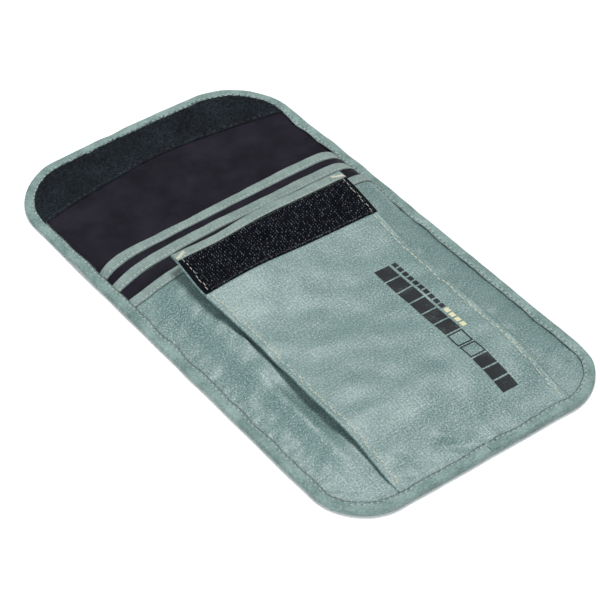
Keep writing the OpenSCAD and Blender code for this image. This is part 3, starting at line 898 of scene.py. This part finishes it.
def make_print():
    """Plain blocks along the right side, and a row of small dashes beside them."""
    bold_x = (bars_low[0], dash_low[0] - 1.2)
    dash_x = (dash_low[0], dash_high[0])
    low_s, long_s = bars_low[1] - BOTTOM_Y, dash_low[1] - BOTTOM_Y
    short_l, hollow_l, long_l, space = 5.6, 6.9, 6.7, 0.75
    dash_l, dash_space, pale = 2.4, 0.8, 4
    blocks = block_row(low_s, 3, short_l, space, *bold_x)
    for block in block_row(long_s - 2 * (hollow_l + space), 2, hollow_l, space, *bold_x):
        blocks += outline_of(block, 0.6)
    blocks += block_row(long_s, 6, long_l, space, *bold_x)
    blocks += block_row(long_s + pale * (dash_l + dash_space), 10, dash_l, dash_space, *dash_x)
    print_piece("print_bars", blocks, dark_ink, "dark_print")
    dashes = block_row(long_s, pale, dash_l, dash_space, *dash_x)
    print_piece("print_line", dashes, pale_ink, "pale_print")


def joined(name, parts):
    """Joins pieces into one object, which keeps their materials."""
    if len(parts) > 1:
        with bpy.context.temp_override(active_object=parts[0], selected_editable_objects=parts):
            bpy.ops.object.join()
    parts[0].name = name + "_look"
    return parts[0]


# ---- hooks and loops

def bristles(name, material, random, x, s, z, tilt, lean, shape, thick):
    """Many small bent fibres, each tilted by chance and leaning its own way. Each follows
    shape, a list of (lean, rise) steps from its root."""
    steps = len(shape)
    shape = np.array(shape)
    up = unit(upright(len(x)) + random.normal(0, tilt, (len(x), 3)))
    lean = unit(lean(len(x)))
    aside = np.cross(up, lean)
    centre = (place(columns(x, s, z))[:, None] + shape[None, :, 0, None] * lean[:, None]
              + shape[None, :, 1, None] * up[:, None])
    other = np.cross(unit(np.gradient(centre, axis=1)), aside[:, None])
    points = np.stack([centre + thick / 2 * (a * aside[:, None] + b * other)
                       for a, b in ((1, 1), (-1, 1), (-1, -1), (1, -1))], 2).reshape(-1, 3)
    last = 4 * (steps - 1)
    caps = np.array([[0, 1, 2, 3], [last + 3, last + 2, last + 1, last]])
    walls = tube_faces(steps, 4)[:, [0, 3, 2, 1]]
    faces = copies(np.concatenate([walls, caps]), 4 * steps, len(x))
    return make_mesh(name, points, faces, points[:, :2], material)


def make_hooks():
    """The hook strip: woven tape, rows of bent hooks that lean both ways in turn, and thread."""
    edge_in, tape_t, pitch = 0.6, 0.45, 1.2
    weave = lambda x, s: front_z(x, s) + 0.05 * np.sin(x * 2 * math.pi / pitch)
    flat = front_patch(lambda s: front_left(s) + edge_in, lambda s: front_right(s) - edge_in,
                       HOOK_LOW, HOOK_HIGH, 0.5, 0.6, weave)
    attach(sheet_piece("hook_strip", flat, tape_t, hook_black), "hook_tape", "front_pocket", "hook_strip")
    random = np.random.default_rng(70)
    xs = np.arange(FRONT_LEFT + 1.8, front_right(HOOK_LOW) - 1.4, pitch)
    x, s = np.meshgrid(xs, np.arange(HOOK_LOW + 0.3, HOOK_HIGH - 0.3, 1.15))
    x, s = (x + random.normal(0, 0.06, x.shape)).ravel(), (s + random.normal(0, 0.07, s.shape)).ravel()
    way = np.where(np.round((x - xs[0]) / pitch).astype(int) % 2, 1.0, -1.0)
    lean = lambda count: columns(random.normal(0, 0.25, count), way, np.zeros(count))
    shape = [(0, 0), (0, 0.34), (0.1, 0.58), (0.3, 0.62), (0.42, 0.42)]
    hooks = bristles("hook_strip_hooks", hook_painted_glints, random, x, s, front_z(x, s) + tape_t, 0.09,
                     lean, shape, 0.2)
    attach(hooks, "hook_tape", "front_pocket")
    rows = []
    for seed, s in ((71, HOOK_LOW + 0.8), (72, HOOK_HIGH - 0.8)):
        xs = rows_between(FRONT_LEFT + 1.5, front_right(s) - 1.5, 1.0)
        line = columns(xs, np.full_like(xs, s))
        rows.append(surface_stitches("hook_row", line, front_z, 0.58, dark_thread, pitch=2.6, seed=seed))
    attach(joined("hook_strip_stitches", rows), "dark_thread", "front_pocket", "hook_strip_stitches")


LOOP_ARCH = 6.5


def loop_low(x):
    """Lower edge of the loop strip, which drops towards its ends."""
    return LOOP_LOW - LOOP_ARCH * (np.abs(x) / (HALF_W - BINDING_W)) ** 1.6


def loop_z(x, s):
    return LINING_Z + back_wave(x, s) + 0.95 + 0.12 * ripple(x, s, 6, 80) + 0.1 * ripple(x, s, 2.2, 81)


def make_loops():
    """The loop strip, which fills the flap's end: tape, a brushed pile, and thread."""
    inset = BINDING_W - 0.6
    top = TOP - inset
    half = lambda s: half_width(s, inset)
    t = np.linspace(0, 1, 26)[:, None]
    # Each column runs from the arched lower edge to the outline above it
    x = np.linspace(-1, 1, 150)[None, :] * half(np.full(1, LOOP_LOW - LOOP_ARCH)) * np.ones_like(t)
    turn = np.clip((np.abs(x) - (HALF_W - FLAP_R)) / (FLAP_R - inset), 0, 1)
    high = np.minimum(TOP - FLAP_R + (FLAP_R - inset) * np.sqrt(np.maximum(1 - turn ** 2, 0)), top)
    low = np.minimum(loop_low(x), high - 1.0)
    s = mix(low, high, t)
    z = loop_z(x, s) - 0.5 * (1 - smooth(np.minimum(s - low, high - s)))
    strip = sheet_piece("loop_strip", columns(x, s, z), 0.6, pile_black)
    attach(strip, "loop_tape", "flap", "loop_strip")
    random = np.random.default_rng(82)
    px = random.uniform(x.min() + 0.8, x.max() - 0.8, 9000)
    ps = random.uniform(LOOP_LOW - LOOP_ARCH, top, 9000)
    keep = (ps > loop_low(px) + 0.5) & (np.abs(px) < half(np.minimum(ps + 0.5, top - 0.01)) - 0.4)
    px, ps = px[keep], ps[keep]
    lean = lambda count: random.normal(0, 1, (count, 3)) * (1, 1, 0.2)
    shape = [(0, 0), (0.08, 0.3), (0.28, 0.44), (0.5, 0.32), (0.58, 0.0)]
    pile = bristles("loop_strip_pile", pile_black, random, px, ps, loop_z(px, ps) - 0.08, 0.3,
                    lean, shape, 0.09)
    attach(pile, "loop_tape", "flap")
    xs = rows_between(-HALF_W + BINDING_W + 1.5, HALF_W - BINDING_W - 1.5, 1.0)
    line = columns(xs, loop_low(xs) + 0.9)
    thread = surface_stitches("loop_strip_stitches", line, loop_z, -0.12, dark_thread, pitch=2.8, seed=83)
    attach(thread, "dark_thread", "flap", "loop_strip_stitches")


# ---- binding

JOIN_X = 3.2


def edge_path(step):
    """Places round the outline, from the join at the bottom, rightwards, and the way in."""
    places, ways = [], []

    def line(x0, s0, x1, s1, way):
        count = max(2, int(math.hypot(x1 - x0, s1 - s0) / step))
        t = np.linspace(0, 1, count, endpoint=False)[:, None]
        places.append(mix(np.array([[x0, s0]]), np.array([[x1, s1]]), t))
        ways.append(np.tile(way, (count, 1)))

    def arc(cx, cs, r, start):
        count = int(r * math.pi / 2 / step)
        a = np.radians(start + np.linspace(0, 90, count, endpoint=False))[:, None]
        out = np.concatenate([np.cos(a), np.sin(a)], 1)
        places.append(np.array([[cx, cs]]) + r * out)
        ways.append(-out)

    w, r, q = HALF_W, CORNER_R, FLAP_R
    line(JOIN_X, 0, w - r, 0, (0, 1))
    arc(w - r, r, r, -90)
    line(w, r, w, TOP - q, (-1, 0))
    arc(w - q, TOP - q, q, 0)
    line(w - q, TOP, q - w, TOP, (0, -1))
    arc(q - w, TOP - q, q, 90)
    line(-w, TOP - q, -w, r, (1, 0))
    arc(r - w, r, r, 180)
    line(r - w, 0, JOIN_X - 0.05, 0, (0, 1))
    places.append(np.array([[JOIN_X - 0.05, 0.0]]))
    ways.append(np.array([[0.0, 1.0]]))
    return np.concatenate(places), np.concatenate(ways)


def rim_height(s):
    """Height of the binding, which covers fewer layers on the flap and more at the bottom."""
    body = mix(RIM_SIDE, RIM_BOTTOM, rise(12, s, 12))
    return mix(body, RIM_FLAP, rise(s, REAR_LIP, 12))


def in_corner(x, s):
    """1 on the rounded corners, where the binding has to pucker."""
    return np.maximum(*(smooth((r + 3 - away) / 8) * smooth((np.abs(x) - (HALF_W - r - 3)) / 8)
                        for r, away in ((CORNER_R, s), (FLAP_R, TOP - s))))


def binding_width(run):
    return BINDING_W + 0.3 * wobble(run, 17, 92)


def binding_shift(run):
    """How far the binding wanders in and out along the edge."""
    return 0.12 * wobble(run, 26, 93)


def binding_section(run, x, s):
    """Distance in and height of the binding's outer face, from its upper inner edge, round
    the outside, to its lower inner edge, for each place round the outline."""
    tall = (rim_height(s) + 0.14 * wobble(run, 11, 90))[:, None]
    crimp = ((0.07 + 0.16 * in_corner(x, s)) * wobble(run, 4.2, 91))[:, None]
    width = binding_width(run)[:, None]
    ones = np.ones_like(width)
    turns = np.radians(np.linspace(0, 90, 5))
    r = 0.95
    inward = r * (1 - np.sin(turns)) * ones
    outward = r * (1 - np.cos(turns)) * ones
    share = np.array([1.0, 0.93, 0.82, 0.66, 0.48, 0.32])
    crown = np.array([-0.42, -0.26, -0.12, 0.0, 0.06, 0.06])
    wave = np.array([0.3, 0.7, 1.0, 1.0, 0.8, 0.5])
    back = np.array([0.35, 0.55, 0.75, 0.9, 1.0])
    back_z = np.array([0.0, 0.02, 0.1, 0.2, 0.16])
    d = np.concatenate([share * width, inward, outward, back * width], 1)
    z = np.concatenate([tall + crown + wave * crimp, tall - outward, inward,
                        back_z + 0.3 * np.abs(crimp)], 1)
    return d, z


def make_binding():
    """The edge binding all round, with its thread, short dark stitches between them that paint the needle
    holes' shade, and a dark thread row at its inner edge that paints the seam's shadow line.
    """
    at, way = edge_path(0.8)
    run = distances(at)
    d, z = binding_section(run, at[:, 0], at[:, 1])
    lift = fold_rise(at[:, 1])[:, None]
    inward = d + binding_shift(run)[:, None]
    flat = np.concatenate([at[:, None] + inward[..., None] * way[:, None], (z + lift)[..., None]], 2)
    around = np.cumsum(np.hypot(np.diff(d, axis=1), np.diff(z, axis=1)), 1)
    around = np.concatenate([np.zeros((len(at), 1)), around], 1)
    uv = columns(run[:, None] * np.ones_like(d), around)
    binding = sheet_piece("edge_binding", flat, 0.4, binding_tape, uv)
    attach(binding, "binding_tape", None, "body_binding", "flap_binding")
    joined_flap(binding)
    threads = []
    for name, inset, material, share, seed, slot in (
            ("edge_stitches", 0.9, grey_thread, 0.56, 94, "sewing_thread"),
            # Painted shade: short dark stitches between the grey ones stand for the shadows in the needle
            # holes
            ("edge_painted_hole_shade", 0.85, painted_shade_and_join_thread, 0.42, 94, "dark_thread"),
            # Painted shadow: a nearly continuous dark row at the binding's inner edge stands for the
            # seam's shadow line
            ("edge_painted_seam_shadow", -0.1, painted_shade_and_join_thread, 0.95, 95, "dark_thread")):
        top = z[:, 1 if inset > 0 else 0] + lift[:, 0]
        threads.append(edge_threads(name, at, way, run, top, lift[:, 0], inset, material, share, seed))
        joined_flap(threads[-1])
    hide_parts("body_binding_stitches", "flap_binding_stitches")


def edge_threads(name, at, way, run, top, lift, inset, material, share, seed):
    """Stitches through the binding, inset from its inner edge, above and below. A share under a half
    makes short dark stitches that sit between those of the first row and paint the shade of its needle
    holes."""
    random = np.random.default_rng(seed)
    pitch = 2.4
    width = binding_width(run) + binding_shift(run) - inset
    rows = []
    for height, up, thick in ((top + 0.1, 1.0, 0.24), (0.14 + lift, -1.0, 0.2)):
        flat = np.concatenate([at + way * width[:, None], height[:, None]], 1)
        centre = resample(flat[0 if share > 0.5 else 2:], pitch)
        ahead = np.gradient(centre, axis=0) + random.normal(0, 0.06, centre.shape) * (1, 1, 0)
        centre = place(centre + random.normal(0, 0.09, centre.shape) * (1, 1, 0))
        rows.append(stitch_row(name, centre, ahead, upright(len(centre), up), material,
                               length=pitch * share, width=0.42 if inset > 0 else 0.3, height=thick))
    return joined(name, rows)


def make_join():
    """The overlapped end of the binding tape, with its small stitches across."""
    width, reach_in = 4.6, BINDING_W - 1.4
    x0 = JOIN_X - width / 2
    x, s = np.meshgrid(rows_between(x0, x0 + width, 0.4), rows_between(0.35, reach_in, 0.4))
    ends = 0.12 * rise(x, x0, 0.8) * rise(x0 + width, x, 0.8)
    z = RIM_BOTTOM + 0.42 + ends - 0.5 * hill(s, 0, 0.7) + 0.05 * ripple(x, s, 3, 96)
    piece = sheet_piece("binding_join", columns(x, s, z), 0.45, binding_tape)
    attach(piece, "binding_tape", "pouch", "binding_join")
    across = np.array([[x0 + width - 0.1, 0.7], [x0 + width + 0.15, BINDING_W + 0.9]])
    top = lambda x, s: RIM_BOTTOM + 0.12 - 0.2 * rise(s, reach_in, 2) + 0 * x
    thread = surface_stitches("binding_join_thread", across, top, 0.0, painted_shade_and_join_thread, pitch=1.3,
                              wander=0.03, seed=97, length=1.2, width=0.4, height=0.3)
    attach(thread, "dark_thread", "pouch")


# ---- stage

def make_stage():
    size = 3.0
    mesh = bpy.data.meshes.new("floor")
    mesh.from_pydata([(-size, -size, 0), (size, -size, 0), (size, size, 0), (-size, size, 0)], [],
                     [(0, 1, 2, 3)])
    g = Graph("pale_floor")
    g.at = g.node("NewGeometry", {}).outputs["Position"]
    tone = g.noise(0.4, 2, 0.5)
    mesh.materials.append(g.finish(g.blend(tone, (0.95, 0.95, 0.95), (0.97, 0.97, 0.97)), 0.9))
    add_object("floor", mesh)

    world = bpy.data.worlds.new("studio")
    bpy.context.scene.world = world
    world.use_nodes = True
    background = world.node_tree.nodes["Background"]
    background.inputs["Color"].default_value = (0.93, 0.97, 1.0, 1)
    background.inputs["Strength"].default_value = 0.33
    area_light("key", (0.52, 0.58, 2.24), 0.8, 53, (1.0, 0.995, 0.98))
    area_light("fill", (-1.45, -1.10, 1.00), 1.2, 23, (0.98, 0.99, 1.0))


def area_light(name, at, size, power, color):
    """A square lamp that points at the wallet."""
    light = bpy.data.lights.new(name, "AREA")
    light.shape, light.size, light.energy, light.color = "SQUARE", size, power, color
    lamp = add_object(name, light)
    lamp.location = at
    lamp.rotation_euler = (-Vector(at)).to_track_quat("-Z", "Y").to_euler()


def make_camera():
    """A long lens, from the wallet's lower left and well above it."""
    azimuth, elevation, distance = math.radians(-37.127), math.radians(42.809), 1.0558
    target = Vector((-5.1 * MM, (BOTTOM_Y + 109.5) * MM, 1.5 * MM))
    back = Vector((math.sin(azimuth) * math.cos(elevation), -math.cos(azimuth) * math.cos(elevation),
                   math.sin(elevation)))
    data = bpy.data.cameras.new("camera")
    data.lens = 161.8
    data.sensor_width = 36
    data.clip_start = 0.05
    camera = add_object("camera", data)
    camera.location = target + back * distance
    camera.rotation_euler = back.to_track_quat("Z", "Y").to_euler()
    bpy.context.scene.camera = camera
    bpy.context.scene.view_settings.view_transform = "Standard"


make_camera()
make_stage()
make_back()
make_pockets()
for which in (-1, 1):
    make_side(which)
    make_pleat(which)
make_front()
for which in (-1, 1):
    make_bartack(which)
    make_topstitch(which)
make_print()
make_hooks()
make_loops()
make_binding()
make_join()
